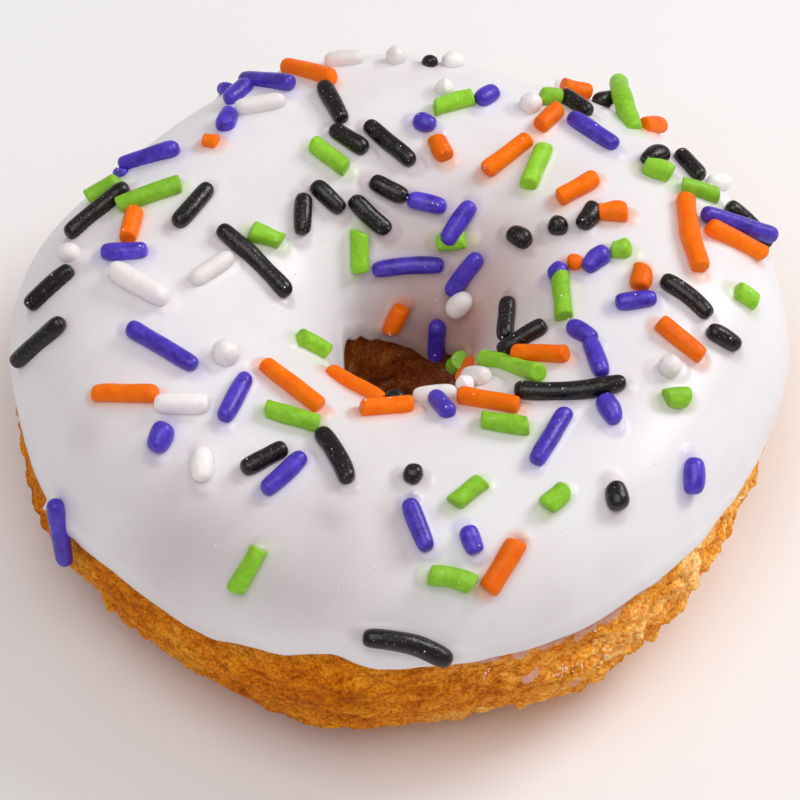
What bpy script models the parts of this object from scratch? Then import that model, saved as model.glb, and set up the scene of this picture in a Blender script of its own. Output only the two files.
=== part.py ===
"""A frosted ring doughnut with rod sprinkles, in metres, +Z up, standing on its flat foot at z = 0.

The doughnut is a closed ring. A point on it has two angles in degrees. "around" runs round the ring:
0 is +X, 90 is the far side (+Y) and 270 the near side. "over" runs over the ring's section: 0 is the
outer girth, 90 the crown, 180 the waist of the hole and -90 the foot.

Two pieces: the fried dough, and the icing that covers its upper half, with the sprinkles stuck in it.
"""

import math
import random

import bmesh
import bpy
from mathutils import Matrix, Vector, noise

MM = 0.001

# The ring
OUTER_RADIUS = 39.2 * MM
HOLE_RADIUS = 5.6 * MM
CROWN_RADIUS = 23.4 * MM
HEIGHT = 28.5 * MM
GIRTH_HEIGHT = 15.0 * MM
WAIST_HEIGHT = 10.0 * MM
FOOT_CUT = 0.8 * MM
AXIS = Vector((-0.1 * MM, -0.5 * MM, 0.0))

# How square the section is: 2 is round, more is squarer
ROUND_OUTSIDE = 2.2
ROUND_INTO_HOLE = 2.6
ROUND_UNDER_HOLE = 4.5

# How the dough rose unevenly: each bulge or flat of the outside and of the hole as (around, how far it
# reaches to each side, how much it adds to the radius)
OUTSIDE_BULGES = (
    (19, 38, 1.95 * MM), (70, 24, -1.4 * MM), (134, 30, -1.2 * MM), (169, 26, 1.3 * MM), (200, 24, 0.4 * MM),
    (230, 24, -0.55 * MM), (258, 20, 0.5 * MM), (282, 16, -0.6 * MM), (308, 16, -0.3 * MM),
    (334, 30, -1.6 * MM),
)
HOLE_BULGES = ((350, 120, 1.3 * MM), (180, 80, -0.5 * MM))
SWELL = 0.25 * MM
SWELL_LENGTH = 14.0 * MM

# The crust below the icing
CRAG = 0.8 * MM
CRAG_LENGTH = 6.0 * MM
CRAG_FLATTEN = 2.2
CRAG_FINER = 2.1
CRAG_FADE = 0.8
CRAG_LEVELS = 3

# The icing: its thickness, the air gap under it, and its lower edge as (around, over)
ICING = 1.2 * MM
GAP = 0.35 * MM
EDGE_OUTSIDE = (
    (0, -3), (20, -6), (45, -2), (70, -7), (95, -3), (120, -8), (150, -3), (175, 3), (198, 8), (213, 4),
    (225, 8), (240, 8), (250, 14), (260, 20), (268, 15), (280, 13), (292, 14), (304, 16), (314, 14),
    (326, 8), (336, 1), (346, -5),
)
EDGE_IN_HOLE = (
    (0, 166), (21, 162), (38, 169), (62, 178), (81, 173), (102, 169), (115, 167), (134, 162), (153, 157),
    (180, 164), (225, 172), (270, 176), (315, 172),
)
BLEND_OVER = 25.0
RIM_REACH = 0.8

# Facets
DOUGH_AROUND = 64
DOUGH_OVER = 22
ICING_AROUND = 56
ICING_OVER = 15

# Sprinkles: their usual thickness, and how deep they sit in the icing
ROD = 1.9 * MM
SUNK = 0.35 * MM
ROD_SIDES = 5
LONGEST_ROD = 12.0 * MM
NEARLY_STRAIGHT = 0.15 * MM

# How a sprinkle settles: the share of the sag between its ends that it keeps, the step by which it
# climbs over others, how far past the horizon it may hang, how near two may come as a share of their
# thickness, how fast it droops from where it is propped up, and how much longer than seen it may be
ROD_SHARE_STRAIGHTENED = 0.4
CLIMB = 0.2 * MM
STAND_OFF = 2.2 * MM
TOUCH = 0.7
DROOP = 0.5
MOST_STRETCH = 1.5

# The line of sight along which the sprinkles were read: its height above the horizon, the distance to
# the ring's middle, the size of one picture point there, and where that middle is in the picture
SIGHT_ELEVATION = 53.0
SIGHT_DISTANCE = 450.0 * MM
SIGHT_HEIGHT = 14.0 * MM
POINT = 0.10323 * MM
PICTURE_MIDDLE = (398.5, 379.0)

# Sprinkles that show, in the order in which they fell: picture x and y of the middle, the lie in
# degrees (rising to the right), the length seen in mm, then for some the bend and the thickness in mm
SPRINKLES = (
    (344, 59, 5, 4.1), (396, 56, 0, 2.1, 0, 2.1), (453, 61, 0, 2.1), (445, 88, 0, 1.9),
    (260, 104, 10, 5.4), (531, 103, 0, 2.3, 0, 2.2), (618, 110, 0, 1.6, 0, 1.4), (719, 182, 0, 2.6),
    (69, 252, 0, 1.8), (139, 283, -30, 6.8, 0, 2.4), (212, 268, 33, 5.0), (226, 352, 0, 2.9, 0, 2.6),
    (459, 305, 45, 2.6, 0, 2.2), (476, 376, 0, 2.5, 0, 2.2), (465, 384, 20, 1.9), (435, 394, 5, 4.6),
    (670, 366, 0, 2.3, 0, 2.2), (182, 403, 0, 5.8, 0, 2.3), (202, 464, 90, 3.4, 0, 2.4),
    (562, 85, 0, 1.5, 0, 1.5), (103, 189, 32, 3.8), (451, 241, 8, 2.9), (97, 210, 40, 8.2),
    (193, 205, 49, 5.4), (49, 287, 42, 6.2), (38, 342, 42, 6.8), (333, 102, -62, 4.4),
    (349, 139, -33, 4.4), (390, 143, -40, 6.4), (389, 189, -27, 4.3), (328, 197, -43, 4.3),
    (303, 214, 88, 4.2), (370, 215, -42, 5.4), (255, 260, -44, 10.1, 0.3), (430, 62, 0, 1.6, 0, 1.4),
    (576, 103, -32, 3.7), (608, 98, 10, 2.6), (655, 156, 20, 2.4), (690, 165, -48, 3.8),
    (589, 216, 60, 2.8), (558, 226, 0, 2.2), (519, 237, -25, 2.6), (749, 225, -45, 6.2),
    (687, 296, -37, 6.4, 0.5), (506, 319, 85, 4.4), (522, 338, 32, 5.8), (724, 338, -30, 3.8),
    (264, 458, 28, 5.2), (335, 455, -60, 6.2, 0.4), (413, 474, -10, 2.1), (617, 496, -80, 3.1, 0, 2.2),
    (408, 647, -15, 9.5, 0.7, 2.1), (395, 398, 0, 2.0, 0, 1.6), (150, 194, 20, 6.8),
    (330, 156, -38, 4.3), (266, 236, -22, 3.5), (360, 252, 90, 4.3), (454, 102, 16, 4.3),
    (536, 166, 66, 4.4), (551, 96, 0, 2.3), (626, 100, -74, 6.4, 0.9, 2.1), (658, 170, -20, 3.1),
    (700, 190, -18, 3.9), (621, 249, 0, 2.1), (562, 296, -84, 4.5), (747, 296, -40, 2.5),
    (459, 363, 40, 1.9), (511, 365, -16, 6.5), (677, 397, 0, 2.4), (314, 344, -30, 3.3),
    (293, 416, -17, 5.7), (505, 423, -8, 5.0), (468, 492, 38, 3.9), (556, 499, 45, 2.6),
    (451, 579, -13, 4.7, 0.3, 2.2), (247, 570, 60, 5.2), (309, 71, -14, 5.3),
    (211, 141, 0, 1.5, 0, 1.5), (131, 224, 75, 3.2), (441, 148, -60, 2.4), (507, 155, 38, 5.7),
    (576, 89, -15, 2.9), (549, 117, 42, 2.8), (653, 125, 0, 2.4), (577, 188, 30, 4.5),
    (613, 212, 0, 3.1), (692, 232, -78, 7.7, 0.4, 2.1), (736, 240, -27, 6.5),
    (575, 262, 0, 1.5, 0, 1.5), (641, 277, 80, 2.4), (396, 320, 62, 2.9), (540, 353, -1, 5.6),
    (466, 370, 58, 3.6, 0, 1.5), (681, 339, -38, 5.9), (489, 400, -9, 6.4), (125, 393, 0, 6.7),
    (293, 385, -38, 7.4), (356, 385, -29, 6.4, 0, 1.6), (387, 406, 5, 5.5), (503, 566, 58, 6.2, 0, 2.2),
    (267, 81, -4, 5.4), (238, 92, 40, 2.9), (226, 89, 0, 1.4, 0, 1.4), (227, 119, 70, 2.1),
    (149, 156, 17, 6.4), (121, 173, 0, 1.3, 0, 1.2), (124, 251, 2, 4.8), (487, 95, 40, 2.2),
    (425, 122, -20, 2.4), (593, 131, -32, 5.9), (427, 203, -14, 4.1), (457, 222, 60, 5.2),
    (408, 267, 4, 7.4, 0.3), (464, 275, 52, 5.2), (596, 259, 42, 3.1), (558, 272, 30, 2.3),
    (636, 300, 8, 4.3), (743, 221, -25, 7.7), (582, 332, -30, 3.3), (596, 357, -68, 4.1),
    (610, 409, -65, 3.1), (437, 341, 88, 3.9), (162, 346, -31, 8.2), (235, 397, 62, 5.3),
    (160, 437, 62, 3.2, 0, 2.2), (284, 473, 42, 5.7), (442, 403, -45, 2.8), (551, 436, 58, 6.5),
    (694, 476, 88, 3.9, 0, 2.2), (418, 525, -68, 5.7), (471, 540, -67, 3.1), (59, 533, -78, 6.6),
    (570, 388, 4, 11.6, -0.7),
)

# Sprinkles where no line of sight reaches: how many are dropped, of which those stay that fall on a free
# place, how far apart they lie, their lengths, bends and shares of the usual thickness, how far the icing
# has to face away, and how many degrees they keep from its edges
UNSEEN_DROPPED = 1500
UNSEEN_APART = 3.4 * MM
UNSEEN_LENGTHS = (2.2 * MM, 6.8 * MM)
UNSEEN_BENDS = (-0.3 * MM, 0.3 * MM)
UNSEEN_THICKNESSES = (0.92, 1.08)
UNSEEN_TURN = 0.42
UNSEEN_MARGIN = 7.0
UNSEEN_SEED = 31


def smooth(share):
    """Ease a share from 0 to 1."""
    share = min(max(share, 0.0), 1.0)
    return share * share * (3.0 - 2.0 * share)


def bulge(around, rows):
    """What the bulges add to the radius at one place round the ring."""
    total = 0.0
    for middle, wide, high in rows:
        apart = abs((around - middle + 180.0) % 360.0 - 180.0)
        total += high * smooth(1.0 - apart / wide)
    return total


def along_edge(around, edge):
    """Height of an icing edge, eased between the places where it was read."""
    around %= 360.0
    rows = edge + ((edge[0][0] + 360, edge[0][1]),)
    for (start, low), (end, high) in zip(rows, rows[1:]):
        if start <= around <= end:
            return low + (high - low) * smooth((around - start) / (end - start))
    return edge[0][1]


def section_middle(over):
    """Height of the point about which the section is drawn."""
    return GIRTH_HEIGHT if math.cos(math.radians(over)) > 0.0 else WAIST_HEIGHT


def reach(around, over):
    """How far the outer skin lies from the middle of the section, before it is cut flat below."""
    level, rise = math.cos(math.radians(over)), math.sin(math.radians(over))
    middle = section_middle(over)
    if level > 0.0:
        wide = OUTER_RADIUS + bulge(around, OUTSIDE_BULGES) - CROWN_RADIUS
        power = ROUND_OUTSIDE
    else:
        wide = CROWN_RADIUS - HOLE_RADIUS - bulge(around, HOLE_BULGES)
        power = ROUND_INTO_HOLE if rise > 0.0 else ROUND_UNDER_HOLE
    high = HEIGHT - middle if rise > 0.0 else middle + FOOT_CUT
    plain = ((abs(level) / wide) ** power + (abs(rise) / high) ** power) ** (-1.0 / power)
    return plain + swell(around, over, plain)


def swell(around, over, plain):
    """Long soft swellings of the risen dough, which the icing follows."""
    angle = math.radians(around)
    out = CROWN_RADIUS + plain * math.cos(math.radians(over))
    spot = Vector((out * math.cos(angle), out * math.sin(angle), plain * math.sin(math.radians(over))))
    return SWELL * noise.noise(spot / SWELL_LENGTH)


def skin(around, over, inset=0.0):
    """Point of the outer skin, or that far inside it."""
    length = reach(around, over) - inset
    angle = math.radians(around)
    out = CROWN_RADIUS + length * math.cos(math.radians(over))
    high = section_middle(over) + length * math.sin(math.radians(over))
    return AXIS + Vector((out * math.cos(angle), out * math.sin(angle), max(high, 0.0)))


def normal(around, over):
    """Direction straight out of the skin."""
    step = 0.5
    along = skin(around + step, over) - skin(around - step, over)
    up = skin(around, over + step) - skin(around, over - step)
    return along.cross(up).normalized()


def under_icing(around, over):
    """1 under the icing, easing to 0 on the bare crust below its edges."""
    outside = smooth((over - along_edge(around, EDGE_OUTSIDE) + BLEND_OVER) / BLEND_OVER)
    inside = smooth((along_edge(around, EDGE_IN_HOLE) + BLEND_OVER - over) / BLEND_OVER)
    return min(outside, inside)


def crag(spot):
    """Rough crust: ledges that run round the side of the dough."""
    stretched = Vector((spot.x, spot.y, spot.z * CRAG_FLATTEN)) / CRAG_LENGTH
    return CRAG * noise.fractal(stretched, CRAG_FADE, CRAG_FINER, CRAG_LEVELS)


def dough_inset(around, over):
    """How deep the dough's surface lies: deeper under the icing, and craggy below it."""
    covered = under_icing(around, over)
    rough = crag(skin(around, over)) * (1.0 - covered)
    return covered * (ICING + GAP) + max(rough, -FOOT_CUT)


def unwound(over):
    """The same angle counted from -90 up, as the icing's edges are."""
    return over if over >= -90.0 else over + 360.0


def spun_ring(name, section, steps, place):
    """Spin a closed section of (over, inset) round the axis, then put every corner where place says.

    The section stands on a plain circle first, so that a corner still tells its angles and its inset.
    """
    mesh = bmesh.new()
    corners = []
    for over, inset in section:
        angle, length = math.radians(over), GIRTH_HEIGHT - inset
        spot = (CROWN_RADIUS + length * math.cos(angle), 0.0, length * math.sin(angle))
        corners.append(mesh.verts.new(spot))
    rim = [mesh.edges.new((a, b)) for a, b in zip(corners, corners[1:] + corners[:1])]
    bmesh.ops.spin(
        mesh, geom=corners + rim, cent=(0.0, 0.0, 0.0), axis=(0.0, 0.0, 1.0),
        angle=2.0 * math.pi, steps=steps, use_merge=True,
    )
    for corner in mesh.verts:
        x, y, z = corner.co
        out = math.hypot(x, y) - CROWN_RADIUS
        around, over = math.degrees(math.atan2(y, x)), unwound(math.degrees(math.atan2(z, out)))
        corner.co = place(around, over, GIRTH_HEIGHT - math.hypot(out, z))
    bmesh.ops.recalc_face_normals(mesh, faces=mesh.faces)
    return as_object(name, mesh)


def as_object(name, mesh):
    """Make a named object of a bmesh, shaded smooth."""
    data = bpy.data.meshes.new(name)
    mesh.to_mesh(data)
    mesh.free()
    data.shade_smooth()
    thing = bpy.data.objects.new(name, data)
    bpy.context.scene.collection.objects.link(thing)
    return thing


def dough():
    """The fried ring, with its flat foot."""
    section = [(360.0 * step / DOUGH_OVER, 0.0) for step in range(DOUGH_OVER)]

    def place(around, over, inset):
        return skin(around, over, dough_inset(around, over))

    return spun_ring("dough", section, DOUGH_AROUND, place)


def icing():
    """The icing without its sprinkles: an even skin with round edges, draped from edge to edge."""
    half = ICING / 2.0
    rim = RIM_REACH * math.degrees(half / GIRTH_HEIGHT)
    turns = [180.0 * step / ICING_OVER for step in range(ICING_OVER + 1)]
    section = [(over, 0.0) for over in turns]
    section += [(180.0 + rim, half * 0.5), (180.0 + rim, half * 1.5)]
    section += [(over, ICING) for over in reversed(turns)]
    section += [(-rim, half * 1.5), (-rim, half * 0.5)]

    def place(around, over, inset):
        low = along_edge(around, EDGE_OUTSIDE)
        high = along_edge(around, EDGE_IN_HOLE)
        return skin(around, low + (high - low) * over / 180.0, inset)

    return spun_ring("icing", section, ICING_AROUND, place)


def above_skin(spot):
    """Height of a point above the outer skin, with the point's two angles."""
    flat = spot - AXIS
    out = math.hypot(flat.x, flat.y) - CROWN_RADIUS
    around = math.degrees(math.atan2(flat.y, flat.x))
    high = flat.z - (GIRTH_HEIGHT if out > 0.0 else WAIST_HEIGHT)
    over = math.degrees(math.atan2(high, out))
    return math.hypot(out, high) - reach(around, over), around, over


def sight_axes():
    """Right, up and forward of the line of sight."""
    tilt = math.radians(SIGHT_ELEVATION)
    return (
        Vector((1.0, 0.0, 0.0)),
        Vector((0.0, math.sin(tilt), math.cos(tilt))),
        Vector((0.0, math.cos(tilt), -math.sin(tilt))),
    )


def seen(x, y, raised, stand_off=0.0):
    """Where the line of sight through a picture point first meets the skin raised by that much.

    A line that passes over the horizon stops where it is nearest, no more than stand_off above the skin.
    """
    right, up, forward = sight_axes()
    middle = AXIS + Vector((0.0, 0.0, SIGHT_HEIGHT))
    eye = middle - forward * SIGHT_DISTANCE
    aim = middle + right * (x - PICTURE_MIDDLE[0]) * POINT + up * (PICTURE_MIDDLE[1] - y) * POINT
    line = (aim - eye).normalized()
    step = 0.5 * MM
    nearest = (1.0, eye)
    start = SIGHT_DISTANCE - 2.0 * OUTER_RADIUS
    for count in range(int(4.0 * OUTER_RADIUS / step)):
        spot = eye + line * (start + count * step)
        height = above_skin(spot)[0] - raised
        if height < 0.0:
            break
        nearest = min(nearest, (height, spot), key=lambda pair: pair[0])
    else:
        height, spot = nearest
        return spot - normal(*above_skin(spot)[1:]) * max(height - stand_off, 0.0)
    near, far = spot - line * step, spot
    for halving in range(12):
        half = (near + far) / 2.0
        if above_skin(half)[0] > raised:
            near = half
        else:
            far = half
    return far


def rod_line(middle, ends, length, bend):
    """Five points along a rod that lies on the skin at its middle and its ends."""
    around, over = above_skin(middle)[1:]
    out = normal(around, over)
    along = (ends[1] - ends[0]).normalized()
    side = out.cross(along)
    if side.dot(sight_axes()[1]) < 0.0:
        side = -side
    centre = middle.lerp((ends[0] + ends[1]) / 2.0, ROD_SHARE_STRAIGHTENED)
    line = []
    for share in (-1.0, -0.5, 0.0, 0.5, 1.0):
        line.append(centre + along * length / 2.0 * share + side * bend * (0.5 - share * share))
    return line, out


def core(line, thickness):
    """A rod's line drawn in at both ends by half its thickness."""
    first = line[0] + (line[1] - line[0]).normalized() * thickness / 2.0
    last = line[4] + (line[3] - line[4]).normalized() * thickness / 2.0
    return [first] + line[1:4] + [last]


def closest(line, laid, thickness):
    """The tightest place between a new rod and those laid before: how far it is short of touching."""
    worst, where = 0.0, 0.0
    for other, other_thickness in laid:
        if (other[2] - line[2]).length > LONGEST_ROD:
            continue
        apart = TOUCH * (thickness + other_thickness) / 2.0
        under = core(other, other_thickness)
        for index, point in enumerate(core(line, thickness)):
            for a, b in zip(under, under[1:]):
                for mark in (0.0, 0.25, 0.5, 0.75, 1.0):
                    short = apart - (point - a.lerp(b, mark)).length
                    if short > worst:
                        worst, where = short, index / 2.0 - 1.0
    return worst, where


def into_dough(line, thickness):
    """Where a rod comes too near the dough, as it may beyond the icing's edge, and by how much."""
    worst, where = 0.0, 0.0
    for index, point in enumerate(core(line, thickness)):
        height, around, over = above_skin(point)
        clear = height - thickness / 2.0 + dough_inset(around, unwound(over))
        if GAP - clear > worst:
            worst, where = GAP - clear, index / 2.0 - 1.0
    return worst, where


def lay(x, y, lie, length, laid, bend=0.0, thickness=ROD / MM):
    """Lay one rod where the picture shows it, lifted until it clears the rods under it."""
    thickness *= MM
    angle = math.radians(lie)
    half = length * MM / POINT / 2.0
    dx, dy = half * math.cos(angle), -half * math.sin(angle)
    lift, where = 0.0, 0.0
    while True:
        raised = thickness / 2.0 - SUNK + lift
        ends = [seen(x + dx * side, y + dy * side, raised, STAND_OFF) for side in (-1, 1)]
        real = min((ends[1] - ends[0]).length, MOST_STRETCH * length * MM, LONGEST_ROD)
        line, out = rod_line(seen(x, y, raised), ends, max(real, thickness), bend * MM)
        short, spot = max(closest(line, laid, thickness), into_dough(line, thickness))
        if short < CLIMB / 2.0:
            break
        lift += CLIMB
        where = spot
    droop = [DROOP * abs(index / 2.0 - 1.0 - where) for index in range(5)]
    return [point - out * lift * min(share, 1.0) for point, share in zip(line, droop)], thickness


def faces_sight(around, over):
    """How squarely the skin faces the line of sight: 1 face on, 0 at the horizon, less behind it."""
    return -normal(around, over).dot(sight_axes()[2])


def unseen(laid):
    """Lay rods on the icing that no line of sight reaches, evenly, by a seeded draw."""
    draw = random.Random(UNSEEN_SEED)
    rods = []
    for drop in range(UNSEEN_DROPPED):
        around = draw.uniform(0.0, 360.0)
        low = along_edge(around, EDGE_OUTSIDE) + UNSEEN_MARGIN
        high = along_edge(around, EDGE_IN_HOLE) - UNSEEN_MARGIN
        over = draw.uniform(low, high)
        lie = draw.uniform(0.0, math.pi)
        length = draw.uniform(*UNSEEN_LENGTHS)
        thickness = ROD * draw.uniform(*UNSEEN_THICKNESSES)
        bend = draw.uniform(*UNSEEN_BENDS)
        if faces_sight(around, over) > -UNSEEN_TURN:
            continue
        raised = thickness / 2.0 - SUNK
        middle = skin(around, over, -raised)
        out = normal(around, over)
        level = Vector((0.0, 0.0, 1.0)).cross(out).normalized()
        along = Matrix.Rotation(lie, 3, out) @ level
        ends = []
        for end in (-0.5, 0.5):
            height, end_around, end_over = above_skin(middle + along * length * end)
            ends.append(skin(end_around, end_over, -raised))
        line = rod_line(middle, ends, length, bend)[0]
        apart = [min((a - b).length for b in line) for other, size in laid + rods for a in other]
        if min(apart) < UNSEEN_APART:
            continue
        rods.append((line, thickness))
    return rods


def rod_object(name, line, thickness):
    """One sprinkle with blunt ends, its rings of corners strung along the rod's line."""
    straight = (line[2] - (line[0] + line[4]) / 2.0).length < NEARLY_STRAIGHT
    bands = 3 if straight else 4
    mesh = bmesh.new()
    bmesh.ops.create_uvsphere(mesh, u_segments=ROD_SIDES, v_segments=bands, radius=1.0)
    half = (line[4] - line[0]).length / 2.0
    shoulder = 1.0 - 0.5 * thickness / 2.0 / half
    along = (line[4] - line[0]).normalized()
    side = along.orthogonal().normalized()
    across = along.cross(side)
    for corner in mesh.verts:
        x, y, z = corner.co
        if abs(z) < 0.1:
            share = 0.0
        elif abs(z) > 0.99:
            share = math.copysign(1.0, z)
        else:
            share = math.copysign(shoulder, z)
        flat = math.hypot(x, y)
        place = (share + 1.0) * 2.0
        index = min(int(place), 3)
        spot = line[index].lerp(line[index + 1], place - index)
        if flat > 0.1:
            spot = spot + (side * x + across * y) / flat * thickness / 2.0
        corner.co = spot
    bmesh.ops.recalc_face_normals(mesh, faces=mesh.faces)
    return as_object(name, mesh)


def fuse(base, rods):
    """Join the rods to the icing into one closed body."""
    group = bpy.data.collections.new("sprinkles")
    bpy.context.scene.collection.children.link(group)
    for number, (line, thickness) in enumerate(rods):
        rod = rod_object("sprinkle_%03d" % number, line, thickness)
        bpy.context.scene.collection.objects.unlink(rod)
        group.objects.link(rod)
    union = base.modifiers.new("sprinkles", "BOOLEAN")
    union.operation = "UNION"
    union.operand_type = "COLLECTION"
    union.collection = group
    union.solver = "EXACT"
    bpy.context.view_layer.update()
    fused = bpy.data.meshes.new_from_object(base.evaluated_get(bpy.context.evaluated_depsgraph_get()))
    base.modifiers.clear()
    base.data = fused
    for rod in list(group.objects):
        bpy.data.objects.remove(rod)
    bpy.data.collections.remove(group)
    fused.shade_smooth()


def finish(name, colour, roughness):
    """A plain material."""
    material = bpy.data.materials.new(name)
    material.use_nodes = True
    shader = material.node_tree.nodes["Principled BSDF"]
    shader.inputs["Base Color"].default_value = (*colour, 1.0)
    shader.inputs["Roughness"].default_value = roughness
    shader.inputs["Metallic"].default_value = 0.0
    return material


def main():
    for thing in list(bpy.data.objects):
        bpy.data.objects.remove(thing)
    ring = dough()
    ring.data.materials.append(finish("fried_dough", (0.50, 0.22, 0.05), 0.7))
    cover = icing()
    laid = []
    for x, y, lie, length, *rest in SPRINKLES:
        laid.append(lay(x, y, lie, length, laid, *rest))
    laid += unseen(laid)
    fuse(cover, laid)
    cover.data.materials.clear()
    cover.data.materials.append(finish("white_icing", (0.85, 0.82, 0.84), 0.35))


main()
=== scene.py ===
import functools
import math
import random

import bmesh
import bpy
from mathutils import Matrix, Vector, kdtree, noise


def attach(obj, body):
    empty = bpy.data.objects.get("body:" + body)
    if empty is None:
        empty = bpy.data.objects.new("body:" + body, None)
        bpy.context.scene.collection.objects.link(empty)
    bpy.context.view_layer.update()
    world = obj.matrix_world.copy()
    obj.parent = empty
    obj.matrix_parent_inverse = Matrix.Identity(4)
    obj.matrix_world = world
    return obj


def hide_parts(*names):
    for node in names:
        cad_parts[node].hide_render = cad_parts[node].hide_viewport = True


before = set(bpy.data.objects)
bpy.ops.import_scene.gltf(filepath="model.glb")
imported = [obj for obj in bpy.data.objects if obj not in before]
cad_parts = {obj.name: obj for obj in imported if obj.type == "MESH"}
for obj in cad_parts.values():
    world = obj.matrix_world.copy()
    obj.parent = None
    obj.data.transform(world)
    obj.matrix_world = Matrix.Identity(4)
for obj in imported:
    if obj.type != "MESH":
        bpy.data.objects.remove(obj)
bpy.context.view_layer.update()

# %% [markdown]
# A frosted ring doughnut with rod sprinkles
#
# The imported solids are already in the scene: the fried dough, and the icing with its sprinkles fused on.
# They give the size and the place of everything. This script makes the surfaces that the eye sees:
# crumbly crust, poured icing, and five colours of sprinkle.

MM = 0.001

# %% [markdown]
# Finding one's way on a ring
#
# Every point of a doughnut can be named by two angles. "around" runs round the ring, from +X towards +Y,
# and "over" runs over the section: 0 is the outer girth, 90 the crown, 180 the waist of the hole and -90
# the foot. Working in these two angles means that a bulge, an icing edge or a sprinkle can be placed by
# saying where it is on the doughnut, and the curved form takes care of the rest.
#
# A torus would be too perfect. This ring was cut from soft dough and rose unevenly, so its radius has
# bulges and flats, and its section is a little squarer than a circle. Outside and towards the hole the
# section is drawn about two different heights, because the girth sits higher than the waist.

# %% The form of the ring
OUTER_RADIUS = 39.2 * MM
HOLE_RADIUS = 5.6 * MM
CROWN_RADIUS = 23.4 * MM
HEIGHT = 28.5 * MM
GIRTH_HEIGHT = 15.0 * MM
WAIST_HEIGHT = 10.0 * MM
FOOT_CUT = 0.8 * MM
AXIS = Vector((-0.1 * MM, -0.5 * MM, 0.0))
ROUND_OUTSIDE = 2.2
ROUND_INTO_HOLE = 2.6
ROUND_UNDER_HOLE = 4.5
OUTSIDE_BULGES = (
    (19, 38, 1.95 * MM), (70, 24, -1.4 * MM), (134, 30, -1.2 * MM), (169, 26, 1.3 * MM),
    (200, 24, 0.4 * MM), (230, 24, -0.55 * MM), (258, 20, 0.5 * MM), (282, 16, -0.6 * MM),
    (308, 16, -0.3 * MM), (334, 30, -1.6 * MM),
)
HOLE_BULGES = ((350, 120, 1.3 * MM), (180, 80, -0.5 * MM))
SWELL = 0.25 * MM
SWELL_LENGTH = 14.0 * MM


def smooth(share):
    """Ease a share from 0 to 1."""
    share = min(max(share, 0.0), 1.0)
    return share * share * (3.0 - 2.0 * share)


@functools.lru_cache(maxsize=8192)
def bulge(around, rows):
    """What the bulges add to the radius at one place round the ring."""
    total = 0.0
    for middle, wide, high in rows:
        apart = abs((around - middle + 180.0) % 360.0 - 180.0)
        total += high * smooth(1.0 - apart / wide)
    return total


def unwound(over):
    """The same angle counted from -90 up."""
    return over if over >= -90.0 else over + 360.0


def section_middle(over):
    """Height of the point about which the section is drawn."""
    return GIRTH_HEIGHT if math.cos(math.radians(over)) > 0.0 else WAIST_HEIGHT


@functools.lru_cache(maxsize=64)
def reach(around, over):
    """How far the outer skin lies from the middle of the section."""
    level, rise = math.cos(math.radians(over)), math.sin(math.radians(over))
    middle = section_middle(over)
    if level > 0.0:
        wide = OUTER_RADIUS + bulge(around, OUTSIDE_BULGES) - CROWN_RADIUS
        power = ROUND_OUTSIDE
    else:
        wide = CROWN_RADIUS - HOLE_RADIUS - bulge(around, HOLE_BULGES)
        power = ROUND_INTO_HOLE if rise > 0.0 else ROUND_UNDER_HOLE
    high = HEIGHT - middle if rise > 0.0 else middle + FOOT_CUT
    plain = ((abs(level) / wide) ** power + (abs(rise) / high) ** power) ** (-1.0 / power)
    angle = math.radians(around)
    out = CROWN_RADIUS + plain * level
    spot = Vector((out * math.cos(angle), out * math.sin(angle), plain * rise))
    return plain + SWELL * noise.noise(spot / SWELL_LENGTH)


def skin(around, over, inset=0.0):
    """Point of the outer skin, or that far inside it; the foot is cut flat at the floor."""
    length = reach(around, over) - inset
    angle = math.radians(around)
    out = CROWN_RADIUS + length * math.cos(math.radians(over))
    high = section_middle(over) + length * math.sin(math.radians(over))
    return AXIS + Vector((out * math.cos(angle), out * math.sin(angle), max(high, 0.0)))


def normal(around, over):
    """Direction straight out of the skin."""
    step = 0.5
    along = skin(around + step, over) - skin(around - step, over)
    up = skin(around, over + step) - skin(around, over - step)
    return along.cross(up).normalized()


def above_skin(spot):
    """Height of a point above the skin, with the point's two angles."""
    flat = spot - AXIS
    out = math.hypot(flat.x, flat.y) - CROWN_RADIUS
    around = math.degrees(math.atan2(flat.y, flat.x))
    high = flat.z - (GIRTH_HEIGHT if out > 0.0 else WAIST_HEIGHT)
    over = math.degrees(math.atan2(high, out))
    return math.hypot(out, high) - reach(around, over), around, over


print("crown height in mm", round(skin(270.0, 90.0).z / MM, 2))

# %% [markdown]
# Where the icing ends
#
# A fried doughnut is dipped upside down in warm icing and turned over, so the icing runs down the side
# and into the hole and stops where it sets. Its edge is an uneven line. The line is given by the places
# where it was read from the photograph, joined by eased steps, and small noise adds the runs between
# them. The dough under the icing lies deeper than the bare crust by the icing's thickness, and comes out to
# full size a little below the edge.

# %% The icing's edges
ICING = 1.2 * MM
GAP = 0.35 * MM
EDGE_OUTSIDE = (
    (0, -3), (20, -6), (45, -2), (70, -7), (95, -3), (120, -8), (150, -3), (175, 3), (198, 8), (213, 4),
    (225, 8), (240, 8), (250, 14), (260, 20), (268, 15), (280, 13), (292, 14), (304, 16), (314, 14),
    (326, 8), (336, 1), (346, -5),
)
EDGE_IN_HOLE = (
    (0, 166), (21, 162), (38, 169), (62, 178), (81, 173), (102, 169), (115, 167), (134, 162), (153, 157),
    (180, 164), (225, 172), (270, 176), (315, 172),
)
BLEND_OVER = 25.0
RIPPLE = 1.1
RIPPLE_LENGTH = 4.5 * MM
RIPPLE_IN_HOLE = 2.2


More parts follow.
